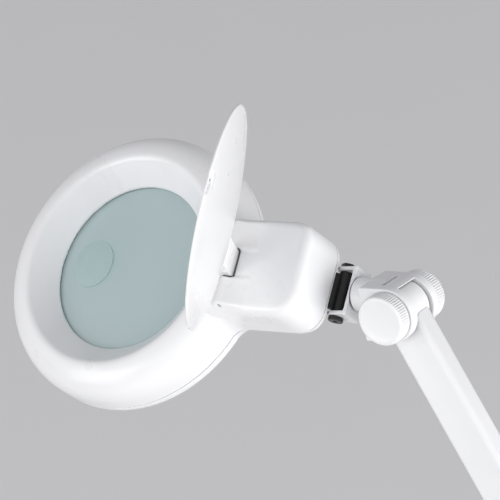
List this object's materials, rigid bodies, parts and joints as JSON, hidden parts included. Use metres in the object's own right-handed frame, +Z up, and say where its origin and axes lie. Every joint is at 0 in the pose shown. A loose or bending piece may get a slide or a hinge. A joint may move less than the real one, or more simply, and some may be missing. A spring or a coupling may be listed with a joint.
{
  "type": "magnifying lamp",
  "caption": "Ring-lit bench magnifier with a hinged dust cover and a strong inset lens, on a folding friction-joint arm with a table clamp.",
  "frame": {"origin": "on the table top, on the swivel post's axis", "axes": "+Z up, -X towards the worker, +Y along the arm's hinge axles"},
  "size_m": [0.5457, 0.2392, 0.9807],
  "materials": {
    "white_plastic": "glossy moulded white",
    "inner_plastic": "satin off-white",
    "black_plastic": "fine-textured black",
    "white_paint": "glossy white powder coat",
    "steel": "bright zinc-plated",
    "black_steel": "satin black",
    "rubber": "matt black",
    "circuit_board": "white solder mask",
    "friction_washer": "matt dark fibre",
    "frosted_window": "frosted diffuser",
    "lens_glass": "polished clear"
  },
  "bodies": {
    "clamp": {"clamp_body": "white_paint", "jaw_liner": "rubber", "swivel_bush": "black_plastic"},
    "clamp_foot": {"clamp_foot": "black_steel", "foot_pad": "rubber"},
    "clamp_screw": {"clamp_screw": "steel"},
    "clamp_bar": {"clamp_bar": "steel"},
    "base": {"base_fork": "white_paint", "base_axle": "steel", "base_washer_front": "friction_washer", "base_washer_rear": "friction_washer", "power_inlet": "black_plastic", "swivel_post": "steel"},
    "base_knob_front": {"base_knob_front": "white_plastic"},
    "base_knob_rear": {"base_knob_rear": "white_plastic"},
    "lower_arm": {"lower_arm_tube": "white_paint", "lower_arm_barrel": "white_paint", "lower_arm_cable": "rubber", "elbow_fork": "white_paint", "elbow_axle": "steel", "elbow_washer_front": "friction_washer", "elbow_washer_rear": "friction_washer"},
    "elbow_knob_front": {"elbow_knob_front": "white_plastic"},
    "elbow_knob_rear": {"elbow_knob_rear": "white_plastic"},
    "upper_arm": {"upper_arm_tube": "white_paint", "upper_arm_head_barrel": "white_paint", "upper_arm_elbow_barrel": "white_paint", "upper_arm_cable": "rubber"},
    "head_block": {"joint_block": "white_paint", "head_axle": "steel", "head_washer_front": "friction_washer", "head_washer_rear": "friction_washer"},
    "head_knob_front": {"head_knob_front": "white_plastic"},
    "head_knob_rear": {"head_knob_rear": "white_plastic"},
    "yoke": {"yoke": "white_paint", "nod_bolt": "black_steel", "nod_nut": "black_steel", "roll_bolt": "steel", "roll_washer": "friction_washer", "roll_nut": "steel"},
    "head": {"head_top_shell": "white_plastic", "head_bottom_shell": "white_plastic", "shell_screw_1": "steel", "shell_screw_2": "steel", "shell_screw_3": "steel", "magnifier_lens": "lens_glass", "inset_lens": "lens_glass", "lens_gasket": "rubber", "lens_retainer": "inner_plastic", "led_tray": "inner_plastic", "led_board": "circuit_board", "light_window": "frosted_window", "led_driver": "black_plastic", "cover_hinge_pin": "steel", "switch_body": "black_plastic", "pivot_block": "black_plastic", "neck_screw": "steel"},
    "dust_cover": {"dust_cover": "white_plastic"},
    "power_button": {"power_button": "inner_plastic"}
  },
  "joints": [
    {"name": "foot_lift", "type": "slide", "parent": "clamp", "child": "clamp_foot", "axis": [0, 0, 1], "range_m": [-0.036, 0.018]},
    {"name": "screw_turn", "type": "hinge", "parent": "clamp_foot", "child": "clamp_screw", "pos_m": [-0.024, 0, -0.13], "axis": [0, 0, 1], "range_deg": [-4330, 2170]},
    {"name": "bar_slide", "type": "slide", "parent": "clamp_screw", "child": "clamp_bar", "axis": [0, 1, 0], "range_m": [-0.024, 0.024]},
    {"name": "base_swivel", "type": "hinge", "parent": "clamp", "child": "base", "pos_m": [0, 0, 0.042], "axis": [0, 0, 1], "range_deg": [-175, 175]},
    {"name": "base_knob_front_turn", "type": "hinge", "parent": "base", "child": "base_knob_front", "pos_m": [0, -0.023, 0.08], "axis": [0, 1, 0], "range_deg": [-180, 90]},
    {"name": "base_knob_rear_turn", "type": "hinge", "parent": "base", "child": "base_knob_rear", "pos_m": [0, 0.023, 0.08], "axis": [0, 1, 0], "range_deg": [-90, 180]},
    {"name": "lower_arm_lean", "type": "hinge", "parent": "base", "child": "lower_arm", "pos_m": [0, 0, 0.08], "axis": [0, 1, 0], "range_deg": [-75, 60], "stiffness_Nm_per_rad": 1.5, "springref_deg": 5.07},
    {"name": "elbow_knob_front_turn", "type": "hinge", "parent": "lower_arm", "child": "elbow_knob_front", "pos_m": [0.18, -0.023, 0.39177], "axis": [0, 1, 0], "range_deg": [-180, 90]},
    {"name": "elbow_knob_rear_turn", "type": "hinge", "parent": "lower_arm", "child": "elbow_knob_rear", "pos_m": [0.18, 0.023, 0.39177], "axis": [0, 1, 0], "range_deg": [-90, 180]},
    {"name": "elbow_bend", "type": "hinge", "parent": "lower_arm", "child": "upper_arm", "pos_m": [0.18, 0, 0.39177], "axis": [0, 1, 0], "range_deg": [-27, 75], "stiffness_Nm_per_rad": 1.5, "springref_deg": 156.45},
    {"name": "head_tilt", "type": "hinge", "parent": "upper_arm", "child": "head_block", "pos_m": [-0.03312, 0, 0.6819], "axis": [0, 1, 0], "range_deg": [-30, 76], "stiffness_Nm_per_rad": 0.6, "springref_deg": 119.99},
    {"name": "head_knob_front_turn", "type": "hinge", "parent": "head_block", "child": "head_knob_front", "pos_m": [-0.03312, -0.023, 0.6819], "axis": [0, 1, 0], "range_deg": [-180, 90]},
    {"name": "head_knob_rear_turn", "type": "hinge", "parent": "head_block", "child": "head_knob_rear", "pos_m": [-0.03312, 0.023, 0.6819], "axis": [0, 1, 0], "range_deg": [-90, 180]},
    {"name": "head_roll", "type": "hinge", "parent": "head_block", "child": "yoke", "pos_m": [-0.08166, 0, 0.67977], "axis": [0.9803, 0, 0.1977], "range_deg": [-139, 41], "stiffness_Nm_per_rad": 0.3, "springref_deg": -31.86},
    {"name": "head_nod", "type": "hinge", "parent": "yoke", "child": "head", "pos_m": [-0.08166, 0, 0.67977], "axis": [-0.1487, 0.6587, 0.7376], "range_deg": [-75, 45], "stiffness_Nm_per_rad": 0.3, "springref_deg": 119.58},
    {"name": "cover_swing", "type": "hinge", "parent": "head", "child": "dust_cover", "pos_m": [-0.14993, -0.03762, 0.6996], "axis": [-0.1487, 0.6587, 0.7376], "range_deg": [-119, 8], "stiffness_Nm_per_rad": 0.02, "springref_deg": -29.51},
    {"name": "button_press", "type": "slide", "parent": "head", "child": "power_button", "axis": [-0.1302, -0.7524, 0.6457], "range_m": [0, 0.0015], "stiffness_N_per_m": 400, "springref_m": -0.0015}
  ],
  "couplings": [
    {"joint": "screw_turn", "follows": "foot_lift", "rad_per_m": 2094.4}
  ]
}
